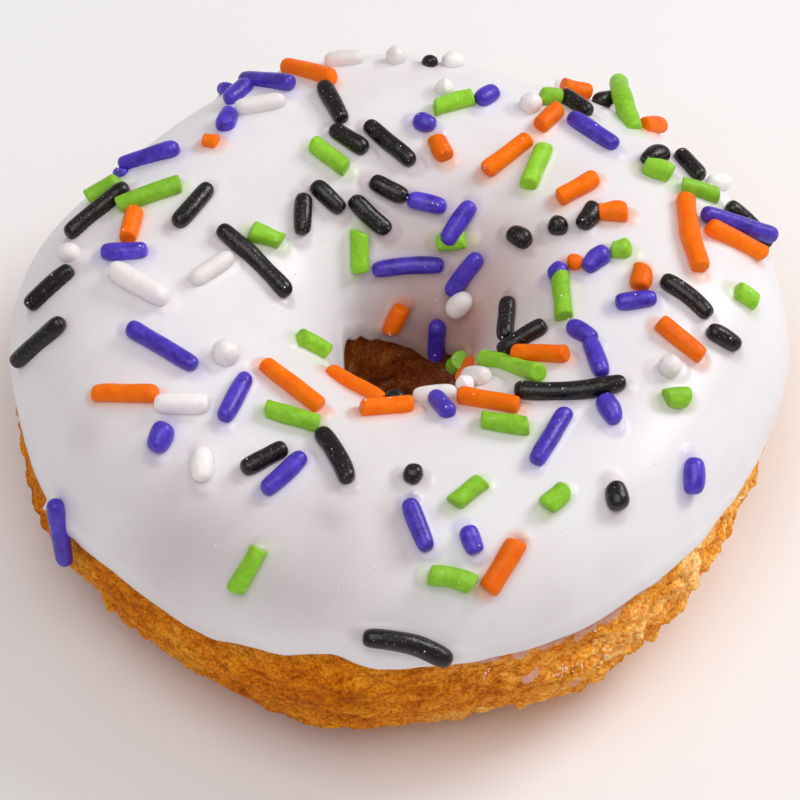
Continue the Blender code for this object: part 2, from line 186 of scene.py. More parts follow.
@functools.lru_cache(maxsize=8192)
def along_edge(around, edge):
    """Height of an icing edge, eased between the places where it was read."""
    around %= 360.0
    rows = edge + ((edge[0][0] + 360, edge[0][1]),)
    for (start, low), (end, high) in zip(rows, rows[1:]):
        if start <= around <= end:
            return low + (high - low) * smooth((around - start) / (end - start))
    return edge[0][1]


@functools.lru_cache(maxsize=8192)
def icing_edges(around):
    """Both edges of the icing at one place, with the small runs that the solid leaves out."""
    angle = math.radians(around)
    ring = Vector((math.cos(angle), math.sin(angle), 0.0)) * OUTER_RADIUS / RIPPLE_LENGTH
    elsewhere = ring * 0.4 + Vector((5.0, 2.0, 9.0))
    outside = along_edge(around, EDGE_OUTSIDE) + RIPPLE * noise.fractal(ring, 0.9, 2.0, 2)
    inside = along_edge(around, EDGE_IN_HOLE) + RIPPLE_IN_HOLE * noise.noise(elsewhere)
    return outside, inside


def under_icing(around, over):
    """1 under the icing, easing to 0 on the bare crust below its edges."""
    outside = smooth((over - along_edge(around, EDGE_OUTSIDE) + BLEND_OVER) / BLEND_OVER)
    inside = smooth((along_edge(around, EDGE_IN_HOLE) + BLEND_OVER - over) / BLEND_OVER)
    return min(outside, inside)


print("icing edges at the right in degrees", [round(edge, 1) for edge in icing_edges(0.0)])

# %% [markdown]
# Spinning a section into a ring
#
# Both the dough and the icing start as a flat outline that is spun round the ring's axis, the way a
# potter's rib turns a profile. The outline stands on a plain circle first, so that after the spin each
# corner still tells its two angles and its depth. Then every corner is moved to where the real form
# has it. One helper does this for both, and it also paints the corners: the materials read that paint.
# Spin goes over the whole mesh at every step, so one sector is spun first and then repeated, and the seams
# are merged, which takes a tenth of the time. The angle round the ring is rounded, so that what depends on
# it alone is worked out once for each step.

# %% The spinning helper
def as_piece(name, mesh):
    """Make a named object of a bmesh, shaded smooth."""
    data = bpy.data.meshes.new(name)
    mesh.to_mesh(data)
    mesh.free()
    data.shade_smooth()
    piece = bpy.data.objects.new(name, data)
    bpy.context.scene.collection.objects.link(piece)
    print(name, len(data.vertices), "corners", len(data.polygons), "faces")
    return piece


def belong(piece, node):
    """Say which solid a piece takes the place of: that solid is hidden, and the piece hangs on the root."""
    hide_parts(node)
    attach(piece, "root")


SECTORS = 20
SEAM = 0.005 * MM


def spun_ring(name, section, steps, place):
    """Spin a closed section of (over, inset) round the axis, then move and colour each corner."""
    mesh = bmesh.new()
    paint = mesh.verts.layers.float_color.new("paint")
    corners = []
    for over, inset in section:
        angle, length = math.radians(over), GIRTH_HEIGHT - inset
        spot = (CROWN_RADIUS + length * math.cos(angle), 0.0, length * math.sin(angle))
        corners.append(mesh.verts.new(spot))
    rim = [mesh.edges.new((a, b)) for a, b in zip(corners, corners[1:] + corners[:1])]
    turn = {"cent": (0.0, 0.0, 0.0), "axis": (0.0, 0.0, 1.0)}
    sector = 2.0 * math.pi / SECTORS
    bmesh.ops.spin(mesh, geom=corners + rim, angle=sector, steps=steps // SECTORS, **turn)
    whole = mesh.verts[:] + mesh.edges[:] + mesh.faces[:]
    rest = SECTORS - 1
    bmesh.ops.spin(mesh, geom=whole, angle=sector * rest, steps=rest, use_duplicate=True, **turn)
    bmesh.ops.remove_doubles(mesh, verts=mesh.verts, dist=SEAM)
    for corner in mesh.verts:
        x, y, z = corner.co
        out = math.hypot(x, y) - CROWN_RADIUS
        around, over = round(math.degrees(math.atan2(y, x)), 3), unwound(math.degrees(math.atan2(z, out)))
        corner.co, corner[paint] = place(around, over, GIRTH_HEIGHT - math.hypot(out, z))
    bmesh.ops.recalc_face_normals(mesh, faces=mesh.faces)
    return as_piece(name, mesh)


# %% [markdown]
# The line of sight
#
# The sprinkles were read from a photograph, each by the place of its middle, its lie and its length in
# the picture. To put them on the doughnut, a line is sent from the eye through that place of the
# picture until it meets the icing. The same eye is used for the camera later on.

# %% Sight
SIGHT_ELEVATION = 53.0
SIGHT_DISTANCE = 450.0 * MM
SIGHT_HEIGHT = 14.0 * MM
POINT = 0.10323 * MM
PICTURE_MIDDLE = (398.5, 379.0)
tilt = math.radians(SIGHT_ELEVATION)
RIGHT = Vector((1.0, 0.0, 0.0))
UP = Vector((0.0, math.sin(tilt), math.cos(tilt)))
FORWARD = Vector((0.0, math.cos(tilt), -math.sin(tilt)))
MIDDLE = AXIS + Vector((0.0, 0.0, SIGHT_HEIGHT))
EYE = MIDDLE - FORWARD * SIGHT_DISTANCE
SIGHT_STEP = 0.5 * MM
SIGHT_HALVINGS = 12


def picture_place(x, y):
    """The point in space, level with the ring's middle, that a place of the picture shows."""
    return MIDDLE + RIGHT * (x - PICTURE_MIDDLE[0]) * POINT + UP * (PICTURE_MIDDLE[1] - y) * POINT


def seen(x, y, raised, stand_off=0.0):
    """Where the line of sight through a picture point first meets the skin raised by that much.

    A line that passes over the horizon stops where it is nearest, no more than stand_off above the skin.
    """
    line = (picture_place(x, y) - EYE).normalized()
    nearest = (1.0, EYE)
    start = SIGHT_DISTANCE - 2.0 * OUTER_RADIUS
    for count in range(int(4.0 * OUTER_RADIUS / SIGHT_STEP)):
        spot = EYE + line * (start + count * SIGHT_STEP)
        height = above_skin(spot)[0] - raised
        if height < 0.0:
            break
        nearest = min(nearest, (height, spot), key=lambda pair: pair[0])
    else:
        height, spot = nearest
        return spot - normal(*above_skin(spot)[1:]) * max(height - stand_off, 0.0)
    near, far = spot - line * SIGHT_STEP, spot
    for halving in range(SIGHT_HALVINGS):
        half = (near + far) / 2.0
        if above_skin(half)[0] > raised:
            near = half
        else:
            far = half
    return far


print("eye in mm", [round(value / MM) for value in EYE])

# %% [markdown]
# The fried dough
#
# The crust is the part that meets hot fat: it sets early, then tears and blisters as the dough inside
# keeps rising. So it has ledges that run round the side, and on them crumbs with sharp creases between.
# Ledges are soft noise, squeezed in height so that they run round the ring. Crumbs are turbulence, which
# is noise folded at zero: that makes round knobs with creases, as broken crumb has.

# %% Crags and crumbs
CRAG = 0.8 * MM
CRAG_LENGTH = 6.0 * MM
CRAG_FLATTEN = 2.2
CRAG_FINER = 2.1
CRAG_FADE = 0.8
CRAG_LEVELS = 3
CRUMB = 0.31 * MM
CRUMB_LENGTH = 1.9 * MM
CRUMB_FLATTEN = 1.7
CRUMB_LEVELS = 3
CRUMB_MEAN = 0.40


def crag(spot):
    """Ledges of the rough crust."""
    stretched = Vector((spot.x, spot.y, spot.z * CRAG_FLATTEN)) / CRAG_LENGTH
    return CRAG * noise.fractal(stretched, CRAG_FADE, CRAG_FINER, CRAG_LEVELS)


def dough_inset(around, over):
    """How deep the dough's surface lies: deeper under the icing, and craggy below it."""
    covered = under_icing(around, over)
    rough = crag(skin(around, over)) * (1.0 - covered)
    return covered * (ICING + GAP) + max(rough, -FOOT_CUT)


def crumb(spot):
    """Height of the crumbs, from -1 in the creases to 1 on the knobs, which are worn blunt."""
    stretched = Vector((spot.x, spot.y, spot.z * CRUMB_FLATTEN)) / CRUMB_LENGTH
    return math.tanh(noise.turbulence(stretched, CRUMB_LEVELS, True) / CRUMB_MEAN - 1.0)


print("ledges in mm", round(CRAG / MM, 2), "crumbs in mm", round(CRUMB / MM, 2))

# %% [markdown]
# The dough's mesh has its corners closest together where the crust shows. At the near right the side is
# torn, and the crumbs are coarser there. All roughness fades out under the icing.
#
# A little glaze also ran down the near right side, in a wavy fringe below the icing and in thin smears, all
# too flat to model. Where they are is painted on the corners: the fringe by its distance from the edge,
# the smears by their nearness to a few lines that were read from the photograph. The paint also says how
# deep in the hole a corner is, where the crust is painted darker as shade, apart from two bright ledges
# where it is left off.

# %% Dough mesh
DOUGH_AROUND = 900
DOUGH_STEPS = ((-90.0, 4.0), (-54.0, 1.1), (32.0, 8.0), (146.0, 2.4), (232.0, 5.0), (270.0, None))
BARE_EASE = 1.5
TORN = ((315, 50, 0.9), (352, 20, 0.4))
FRINGE = 0.7 * MM
FRINGE_HIDDEN = 1.45 * MM
FRINGE_WAVE = 1.25 * MM
FRINGE_LENGTH = 1.4 * MM
FRINGE_PLACES = ((300, 38, 1.0), (350, 20, 0.35), (240, 25, 0.45))
GLAZE_SMEARS = (
    (525, 680, 555, 661, 0.45), (572, 684, 577, 677, 0.35), (617, 612, 632, 605, 0.7),
    (599, 624, 611, 616, 0.5), (563, 640, 586, 631, 0.4), (530, 650, 549, 645, 0.35),
    (640, 597, 655, 584, 0.4), (672, 566, 690, 549, 0.4),
)
SHADY_OVER = (142.0, 262.0)
SHADY_EASE = 16.0
BRIGHT_LEDGES = ((351, 347, 357, 352, 0.35), (350, 361, 361, 358, 0.45))


def nearness(spot, lines):
    """1 on the nearest of some lines, easing to 0 at twice its half width."""
    best = 0.0
    for start, end, wide in lines:
        along = end - start
        share = min(max((spot - start).dot(along) / along.length_squared, 0.0), 1.0)
        best = max(best, smooth(1.0 - (spot - start - along * share).length / (2.0 * wide)))
    return best


def lines_on_skin(rows):
    """Lines on the skin that the picture shows, each with its half width."""
    return [(seen(x, y, 0.0), seen(x2, y2, 0.0), wide * MM) for x, y, x2, y2, wide in rows]


smears = lines_on_skin(GLAZE_SMEARS)
bright_ledges = lines_on_skin(BRIGHT_LEDGES)


def place_dough(around, over, inset):
    """Corner of the dough, painted: red how high the crumb, green the painted shade in the hole, blue the
    glaze.
    """
    bare = smooth(BARE_EASE * (1.0 - under_icing(around, over)))
    if bare == 0.0:
        return skin(around, over, ICING + GAP), (0.5, 0.0, 0.0, 1.0)
    deep = dough_inset(around, over)
    plain = skin(around, over, deep)
    high = crumb(plain)
    rough = CRUMB * bare * (1.0 + bulge(around, TORN))
    glaze, shady = 0.0, 0.0
    if over < 90.0:
        below = math.radians(icing_edges(around)[0] - over) * GIRTH_HEIGHT - FRINGE_HIDDEN
        below += FRINGE_WAVE * noise.noise(plain / FRINGE_LENGTH)
        glaze = smooth(1.0 - below / (2.0 * FRINGE)) * bulge(around, FRINGE_PLACES)
        if plain.y < AXIS.y < plain.x:
            glaze = max(glaze, nearness(plain, smears))
    else:
        # Painted shade: the crust deep in the hole is painted darker.
        shady = smooth((over - SHADY_OVER[0]) / SHADY_EASE) * smooth((SHADY_OVER[1] - over) / SHADY_EASE)
        shady *= 1.0 - nearness(plain, bright_ledges)
    return skin(around, over, deep - rough * high), (0.5 + 0.5 * high, shady, glaze, 1.0)


outline = []
for (over, step), (stop, unused) in zip(DOUGH_STEPS, DOUGH_STEPS[1:]):
    while over < stop - step / 2.0:
        outline.append((over, 0.0))
        over += step
dough = spun_ring("dough_crust", outline, DOUGH_AROUND, place_dough)
belong(dough, "dough")

# %% [markdown]
# The sprinkles that show
#
# Sprinkles are cut from a soft string of coloured sugar before it dries, so they differ in length and
# some are bent, and the shortest are crumbs. They could be scattered at random, but then the picture
# would not be this doughnut. So they are listed, in the order in which they fell: colour, picture
# x and y of the middle, the lie in degrees (rising to the right), the length seen in mm, and for some
# the bend and the thickness in mm. Those that fell later lie on top of those before.

# %% List of sprinkles
SPRINKLES = (
    ("white", (
        (344, 59, 5, 4.1), (396, 56, 0, 2.1, 0, 2.1), (453, 61, 0, 2.1), (445, 88, 0, 1.9),
        (260, 104, 10, 5.4), (531, 103, 0, 2.3, 0, 2.2), (618, 110, 0, 1.6, 0, 1.4), (719, 182, 0, 2.6),
        (69, 252, 0, 1.8), (139, 283, -30, 6.8, 0, 2.4), (212, 268, 33, 5.0), (226, 352, 0, 2.9, 0, 2.6),
        (459, 305, 45, 2.6, 0, 2.2), (476, 376, 0, 2.5, 0, 2.2), (465, 384, 20, 1.9), (435, 394, 5, 4.6),
        (670, 366, 0, 2.3, 0, 2.2), (182, 403, 0, 5.8, 0, 2.3), (202, 464, 90, 3.4, 0, 2.4),
        (562, 85, 0, 1.5, 0, 1.5),
    )),
    ("green", ((103, 189, 32, 3.8), (451, 241, 8, 2.9))),
    ("black", (
        (97, 210, 40, 8.2), (193, 205, 49, 5.4), (49, 287, 42, 6.2), (38, 342, 42, 6.8),
        (333, 102, -62, 4.4), (349, 139, -33, 4.4), (390, 143, -40, 6.4), (389, 189, -27, 4.3),
        (328, 197, -43, 4.3), (303, 214, 88, 4.2), (370, 215, -42, 5.4), (255, 260, -44, 10.1, 0.3),
        (430, 62, 0, 1.6, 0, 1.4), (576, 103, -32, 3.7), (608, 98, 10, 2.6), (655, 156, 20, 2.4),
        (690, 165, -48, 3.8), (589, 216, 60, 2.8), (558, 226, 0, 2.2), (519, 237, -25, 2.6),
        (749, 225, -45, 6.2), (687, 296, -37, 6.4, 0.5), (506, 319, 85, 4.4), (522, 338, 32, 5.8),
        (724, 338, -30, 3.8), (264, 458, 28, 5.2), (335, 455, -60, 6.2, 0.4), (413, 474, -10, 2.1),
        (617, 496, -80, 3.1, 0, 2.2), (408, 647, -15, 9.5, 0.7, 2.1), (395, 398, 0, 2.0, 0, 1.6),
    )),
    ("green", (
        (150, 194, 20, 6.8), (330, 156, -38, 4.3), (266, 236, -22, 3.5), (360, 252, 90, 4.3),
        (454, 102, 16, 4.3), (536, 166, 66, 4.4), (551, 96, 0, 2.3), (626, 100, -74, 6.4, 0.9, 2.1),
        (658, 170, -20, 3.1), (700, 190, -18, 3.9), (621, 249, 0, 2.1), (562, 296, -84, 4.5),
        (747, 296, -40, 2.5), (459, 363, 40, 1.9), (511, 365, -16, 6.5), (677, 397, 0, 2.4),
        (314, 344, -30, 3.3), (293, 416, -17, 5.7), (505, 423, -8, 5.0), (468, 492, 38, 3.9),
        (556, 499, 45, 2.6), (451, 579, -13, 4.7, 0.3, 2.2), (247, 570, 60, 5.2),
    )),
    ("orange", (
        (309, 71, -14, 5.3), (211, 141, 0, 1.5, 0, 1.5), (131, 224, 75, 3.2), (441, 148, -60, 2.4),
        (507, 155, 38, 5.7), (576, 89, -15, 2.9), (549, 117, 42, 2.8), (653, 125, 0, 2.4),
        (577, 188, 30, 4.5), (613, 212, 0, 3.1), (692, 232, -78, 7.7, 0.4, 2.1), (736, 240, -27, 6.5),
        (575, 262, 0, 1.5, 0, 1.5), (641, 277, 80, 2.4), (396, 320, 62, 2.9), (540, 353, -1, 5.6),
        (466, 370, 58, 3.6, 0, 1.5), (681, 339, -38, 5.9), (489, 400, -9, 6.4), (125, 393, 0, 6.7),
        (293, 385, -38, 7.4), (356, 385, -29, 6.4, 0, 1.6), (387, 406, 5, 5.5),
        (503, 566, 58, 6.2, 0, 2.2),
    )),
    ("purple", (
        (267, 81, -4, 5.4), (238, 92, 40, 2.9), (226, 89, 0, 1.4, 0, 1.4), (227, 119, 70, 2.1),
        (149, 156, 17, 6.4), (121, 173, 0, 1.3, 0, 1.2), (124, 251, 2, 4.8), (487, 95, 40, 2.2),
        (425, 122, -20, 2.4), (593, 131, -32, 5.9), (427, 203, -14, 4.1), (457, 222, 60, 5.2),
        (408, 267, 4, 7.4, 0.3), (464, 275, 52, 5.2), (596, 259, 42, 3.1), (558, 272, 30, 2.3),
        (636, 300, 8, 4.3), (743, 221, -25, 7.7), (582, 332, -30, 3.3), (596, 357, -68, 4.1),
        (610, 409, -65, 3.1), (437, 341, 88, 3.9), (162, 346, -31, 8.2), (235, 397, 62, 5.3),
        (160, 437, 62, 3.2, 0, 2.2), (284, 473, 42, 5.7), (442, 403, -45, 2.8), (551, 436, 58, 6.5),
        (694, 476, 88, 3.9, 0, 2.2), (418, 525, -68, 5.7), (471, 540, -67, 3.1), (59, 533, -78, 6.6),
    )),
    ("black", ((570, 388, 4, 11.6, -0.7),)),
)
print("sprinkles in the list", sum(len(rows) for colour, rows in SPRINKLES))

# %% [markdown]
# Laying the sprinkles
#
# A rod lies on the icing at its middle and its two ends, a little sunk in, as it would in icing that has
# not set. Where it meets one that fell before, it is lifted in small steps until it clears it, and its
# far end droops back. The same climb keeps a rod that hangs over the icing's edge out of the dough.

# %% Laying one rod
ROD = 1.9 * MM
SUNK = 0.35 * MM
LONGEST_ROD = 12.0 * MM
ROD_SHARE_STRAIGHTENED = 0.4
CLIMB = 0.2 * MM
STAND_OFF = 2.2 * MM
TOUCH = 0.7
DROOP = 0.5
MOST_STRETCH = 1.5


def rod_line(middle, ends, length, bend):
    """Five points along a rod that lies on the skin at its middle and its ends."""
    around, over = above_skin(middle)[1:]
    out = normal(around, over)
    along = (ends[1] - ends[0]).normalized()
    side = out.cross(along)
    if side.dot(UP) < 0.0:
        side = -side
    centre = middle.lerp((ends[0] + ends[1]) / 2.0, ROD_SHARE_STRAIGHTENED)
    line = []
    for share in (-1.0, -0.5, 0.0, 0.5, 1.0):
        line.append(centre + along * length / 2.0 * share + side * bend * (0.5 - share * share))
    return line, out


def core(line, thickness):
    """A rod's line drawn in at both ends by half its thickness."""
    first = line[0] + (line[1] - line[0]).normalized() * thickness / 2.0
    last = line[4] + (line[3] - line[4]).normalized() * thickness / 2.0
    return [first] + line[1:4] + [last]


def closest(line, laid, thickness):
    """The tightest place between a new rod and those laid before: how far it is short of touching."""
    worst, where = 0.0, 0.0
    for other, other_thickness in laid:
        if (other[2] - line[2]).length > LONGEST_ROD:
            continue
        apart = TOUCH * (thickness + other_thickness) / 2.0
        under = core(other, other_thickness)
        for index, point in enumerate(core(line, thickness)):
            for a, b in zip(under, under[1:]):
                for mark in (0.0, 0.25, 0.5, 0.75, 1.0):
                    short = apart - (point - a.lerp(b, mark)).length
                    if short > worst:
                        worst, where = short, index / 2.0 - 1.0
    return worst, where


def into_dough(line, thickness):
    """Where a rod comes too near the dough, as it may beyond the icing's edge, and by how much."""
    worst, where = 0.0, 0.0
    for index, point in enumerate(core(line, thickness)):
        height, around, over = above_skin(point)
        clear = height - thickness / 2.0 + dough_inset(around, unwound(over))
        if GAP - clear > worst:
            worst, where = GAP - clear, index / 2.0 - 1.0
    return worst, where


def lay(x, y, lie, length, laid, bend=0.0, thickness=ROD / MM):
    """Lay one rod where the picture shows it, lifted until it clears the rods under it."""
    thickness *= MM
    angle = math.radians(lie)
    half = length * MM / POINT / 2.0
    dx, dy = half * math.cos(angle), -half * math.sin(angle)
    lift, where = 0.0, 0.0
    while True:
        raised = thickness / 2.0 - SUNK + lift
        ends = [seen(x + dx * side, y + dy * side, raised, STAND_OFF) for side in (-1, 1)]
        real = min((ends[1] - ends[0]).length, MOST_STRETCH * length * MM, LONGEST_ROD)
        line, out = rod_line(seen(x, y, raised), ends, max(real, thickness), bend * MM)
        short, spot = max(closest(line, laid, thickness), into_dough(line, thickness))
        if short < CLIMB / 2.0:
            break
        lift += CLIMB
        where = spot
    droop = [DROOP * abs(index / 2.0 - 1.0 - where) for index in range(5)]
    return [point - out * lift * min(share, 1.0) for point, share in zip(line, droop)], thickness


laid, colours = [], []
for colour, rows in SPRINKLES:
    for x, y, lie, length, *rest in rows:
        laid.append(lay(x, y, lie, length, laid, *rest))
        colours.append(colour)
print("sprinkles that show", len(laid))

# %% [markdown]
# The sprinkles that no photograph shows
#
# The far side below the horizon and the near wall of the hole are out of sight, but a doughnut that is
# turned round should not be bare there. These rods are scattered by a seeded draw that keeps them
# apart, with lengths and colours like those that show. One is kept only where its middle and both its ends
# face well away from the eye.

# %% Scattering the rest
UNSEEN_DROPPED = 1500
UNSEEN_APART = 3.4 * MM
UNSEEN_LENGTHS = (2.2 * MM, 6.8 * MM)
UNSEEN_BENDS = (-0.3 * MM, 0.3 * MM)
UNSEEN_THICKNESSES = (0.92, 1.08)
UNSEEN_TURN = 0.42
UNSEEN_ENDS_TURN = 0.32
UNSEEN_MARGIN = 7.0
UNSEEN_SEED = 31
UNSEEN_COLOURS = ("black", "purple", "green", "orange", "purple", "black", "orange", "green", "white")


def faces_sight(around, over):
    """How squarely the skin faces the line of sight: 1 face on, 0 at the horizon, less behind it."""
    return -normal(around, over).dot(FORWARD)


def unseen(laid):
    """Lay rods on the icing that no line of sight reaches, evenly, by a seeded draw."""
    draw = random.Random(UNSEEN_SEED)
    rods = []
    for drop in range(UNSEEN_DROPPED):
        around = draw.uniform(0.0, 360.0)
        low = along_edge(around, EDGE_OUTSIDE) + UNSEEN_MARGIN
        high = along_edge(around, EDGE_IN_HOLE) - UNSEEN_MARGIN
        over = draw.uniform(low, high)
        lie = draw.uniform(0.0, math.pi)
        length = draw.uniform(*UNSEEN_LENGTHS)
        thickness = ROD * draw.uniform(*UNSEEN_THICKNESSES)
        bend = draw.uniform(*UNSEEN_BENDS)
        if faces_sight(around, over) > -UNSEEN_TURN:
            continue
        raised = thickness / 2.0 - SUNK
        middle = skin(around, over, -raised)
        out = normal(around, over)
        level = Vector((0.0, 0.0, 1.0)).cross(out).normalized()
        along = Matrix.Rotation(lie, 3, out) @ level
        ends = []
        most_seen = -1.0
        for end in (-0.5, 0.5):
            height, end_around, end_over = above_skin(middle + along * length * end)
            ends.append(skin(end_around, end_over, -raised))
            most_seen = max(most_seen, faces_sight(end_around, end_over))
        if most_seen > -UNSEEN_ENDS_TURN:
            continue
        line = rod_line(middle, ends, length, bend)[0]
        apart = [min((a - b).length for b in line) for other, size in laid + rods for a in other]
        if min(apart) < UNSEEN_APART:
            continue
        rods.append((line, thickness))
    return rods


hidden = unseen(laid)
laid += hidden
colours += [UNSEEN_COLOURS[number % len(UNSEEN_COLOURS)] for number in range(len(hidden))]
print("sprinkles out of sight", len(hidden))

# %% [markdown]
# The icing
#
# Poured icing is an even skin with a thick rounded lip where it stopped running. Around each sprinkle it
# creeps up a little, like water round a stick, and the sprinkle's dye bleeds into it. Painted shade and
# colour bounced off the sprinkle are added round it too; round black and white ones only painted shade.
# Creep and tint can be worked out from the distance to the nearest rods, so all the rods' points go into
# a search tree first. The creep is real geometry; the bleeding and the painted shade are painted on the
# corners as a colour that the material multiplies with its own.

# %% Creep, bleeding and painted shade
CREEP_REACH = 0.6 * MM
BLEED_AND_SHADE_REACH = 1.0 * MM
BLEED_AND_SHADE_FALL = 1.5
# Painted shade and colour bounced off each rod, partly dye bled into the icing; black and white rods give
# only painted shade.
BLEED_AND_SHADE_COLOURS = {
    "black": (0.84, 0.79, 0.82),
    "purple": (0.82, 0.80, 0.95),
    "green": (0.84, 0.93, 0.72),
    "orange": (1.0, 0.70, 0.58),
    "white": (0.98, 0.97, 0.97),
}

rod_points = []
for (line, thickness), colour in zip(laid, colours):
    for a, b in zip(line, line[1:]):
        for mark in (0.0, 0.25, 0.5, 0.75):
            rod_points.append((a.lerp(b, mark), thickness / 2.0, colour))
    rod_points.append((line[4], thickness / 2.0, colour))
rod_tree = kdtree.KDTree(len(rod_points))
for index, (point, radius, colour) in enumerate(rod_points):
    rod_tree.insert(point, index)
rod_tree.balance()


def tint_multiplied(tint, extra_tint, share):
    """A tint with a share of another colour multiplied into it."""
    return Vector([t * (1.0 - share + share * s) for t, s in zip(tint, extra_tint)])


def near_rods(spot):
    """How far the icing creeps up here, and the colour painted round the rods: dye bled into it, with
    painted shade and bounced colour.
    """
    creep, tint, strongest = 0.0, Vector((1.0, 1.0, 1.0)), {}
    for point, index, distance in rod_tree.find_range(spot, BLEED_AND_SHADE_REACH + ROD):
        gap = distance - rod_points[index][1]
        colour = rod_points[index][2]
        creep = max(creep, smooth(1.0 - gap / CREEP_REACH))
        share = smooth(1.0 - gap / BLEED_AND_SHADE_REACH) ** BLEED_AND_SHADE_FALL
        strongest[colour] = max(strongest.get(colour, 0.0), share)
    for colour, share in strongest.items():
        tint = tint_multiplied(tint, BLEED_AND_SHADE_COLOURS[colour], share)
    return creep, tint


print("points in the search tree", len(rod_points))

# %% [markdown]
# The paint also turns warmer and darker down in the hole, most on its far and right walls, and in a few
# patches at the near side: painted shade and brown light bounced off the crust, partly thin icing with
# crust shining through. At some rods' ends a cap of icing has climbed higher. The skin is closed:
# it is spun from an outline that goes over the top, round one lip, back underneath and round the other.

# %% Icing mesh
LIP = 0.15 * MM
LIP_OVER = 9.0
LIP_PEAK = 0.45
CREEP = 0.3 * MM
THIN_AND_SHADE_FROM = 98.0
THIN_AND_SHADE_AROUND = ((64, 76, 1.0), (10, 70, 1.0), (300, 50, 0.5))
THIN_AND_SHADE_COLOUR = (0.66, 0.43, 0.37)
THIN_AND_SHADE_PATCHES = (
    (175, 548, 320, 545, 5.5, 0.45), (394, 512, 404, 552, 1.5, 0.40), (290, 592, 400, 585, 3.5, 0.20),
    (328, 515, 332, 519, 1.2, 0.25), (80, 433, 86, 437, 1.4, 0.20),
)
PATCH_SHADE_COLOUR = (0.60, 0.52, 0.52)
PATCHES_UP_TO = 110.0
CAP = 1.0 * MM
CAPS = (
    (413, 496, 416, 497, 0.35), (50, 506, 53, 506, 0.4), (521, 537, 524, 539, 0.35),
    (256, 548, 259, 549, 0.4),
)
UNDERSIDE_SHARE = 0.05
ICING_AROUND = 500
ICING_OVER = 140
LIP_TURNS = 6
UNDER_OVER = 30

thin_and_shade_patches = [(lines_on_skin([row[:5]])[0], row[5]) for row in THIN_AND_SHADE_PATCHES]
caps = lines_on_skin(CAPS)


def place_icing(around, over, inset):
    """Corner of the icing, with its paint: dye bled from sprinkles with painted shade round them, and
    painted shade in the hole and in near patches, partly thin icing.
    """
    low, high = icing_edges(around)
    real_over = low + (high - low) * over / 180.0
    nearest_edge = min(abs(real_over - low), abs(high - real_over))
    outer_share = 1.0 - min(inset / ICING, 1.0)
    lip = LIP * smooth(1.0 - abs(nearest_edge / LIP_OVER - LIP_PEAK) / (1.0 - LIP_PEAK))
    plain = skin(around, real_over, inset)
    if outer_share < UNDERSIDE_SHARE:
        return plain, (1.0, 1.0, 1.0, 1.0)
    creep, tint = near_rods(plain)
    # Painted shade and brown light bounced off the crust down in the hole, partly thin icing.
    depth = max(real_over - THIN_AND_SHADE_FROM, 0.0) / (high - THIN_AND_SHADE_FROM) * bulge(around, THIN_AND_SHADE_AROUND)
    tint = tint_multiplied(tint, THIN_AND_SHADE_COLOUR, min(depth, 1.0))
    # Painted shade in a few patches at the near side, one of them a rod's shadow, partly thin icing.
    if plain.y < AXIS.y and real_over < PATCHES_UP_TO:
        patch = sum(share * nearness(plain, [line]) for line, share in thin_and_shade_patches)
        tint = tint_multiplied(tint, PATCH_SHADE_COLOUR, min(patch, 1.0))
        inset -= CAP * nearness(plain, caps)
    spot = skin(around, real_over, inset + outer_share * (LIP - lip - CREEP * creep))
    return spot, (*tint, 1.0)


half = ICING / 2.0
rim = math.degrees(half / GIRTH_HEIGHT)
outline = [(180.0 * step / ICING_OVER, 0.0) for step in range(ICING_OVER + 1)]
for step in range(1, LIP_TURNS):
    turn = math.pi * step / LIP_TURNS
    outline.append((180.0 + rim * math.sin(turn), half * (1.0 - math.cos(turn))))
outline += [(180.0 * step / UNDER_OVER, ICING) for step in range(UNDER_OVER, -1, -1)]
for step in range(1, LIP_TURNS):
    turn = math.pi * step / LIP_TURNS
    outline.append((-rim * math.sin(turn), half * (1.0 + math.cos(turn))))
icing = spun_ring("icing_coat", outline, ICING_AROUND, place_icing)
belong(icing, "icing")

# %% [markdown]
# Sprinkle meshes
#
# A sprinkle is a short rod with eight sides: a circle that is extruded ring by ring along the rod's
# line. The rings vary a little in size and place, and a Subdivision Surface rounds the cage, so a few
# dozen faces give a smooth, slightly lumpy rod. The rounding draws an eight-sided cage in by a tenth, so
# the cage is drawn that much too thick. The cap is extruded together with its edges and corners, so that
# no face is left inside, where it would crease the rounding. Purple and black ones were tumbled until
# their ends were round, and white ones taper. Green and orange ones broke while brittle, so their ends are
# blunt and a bit askew. The shortest are crumbs, the lumpiest and a little swollen. All rods of a colour
# are one piece.

# %% Sprinkle helper
ROD_CAGE_SIDES = 8
CAGE = 1.10
ROUND_END = ((-0.06, 0.34), (0.20, 0.76), (0.75, 0.99))
BLUNT_END = ((-0.04, 0.56), (0.12, 0.90), (0.55, 1.0))
BROKEN_END = ((-0.03, 0.66), (0.08, 0.97), (0.50, 1.0))
SPINDLE_END = ((-0.05, 0.34), (0.24, 0.74), (0.95, 0.97))
ROD_SHAPES = {
    "black": (ROUND_END, 0.065, 0.05),
    "purple": (ROUND_END, 0.060, 0.05),
    "green": (BROKEN_END, 0.085, 0.28),
    "orange": (BLUNT_END, 0.070, 0.18),
    "white": (SPINDLE_END, 0.025, 0.0),
}
LUMP_EVERY = 1.7 * MM
SHORT_ROD = 3.5 * MM
SHORT_LUMPS = 2.2
SHORT_SWELL = 0.14


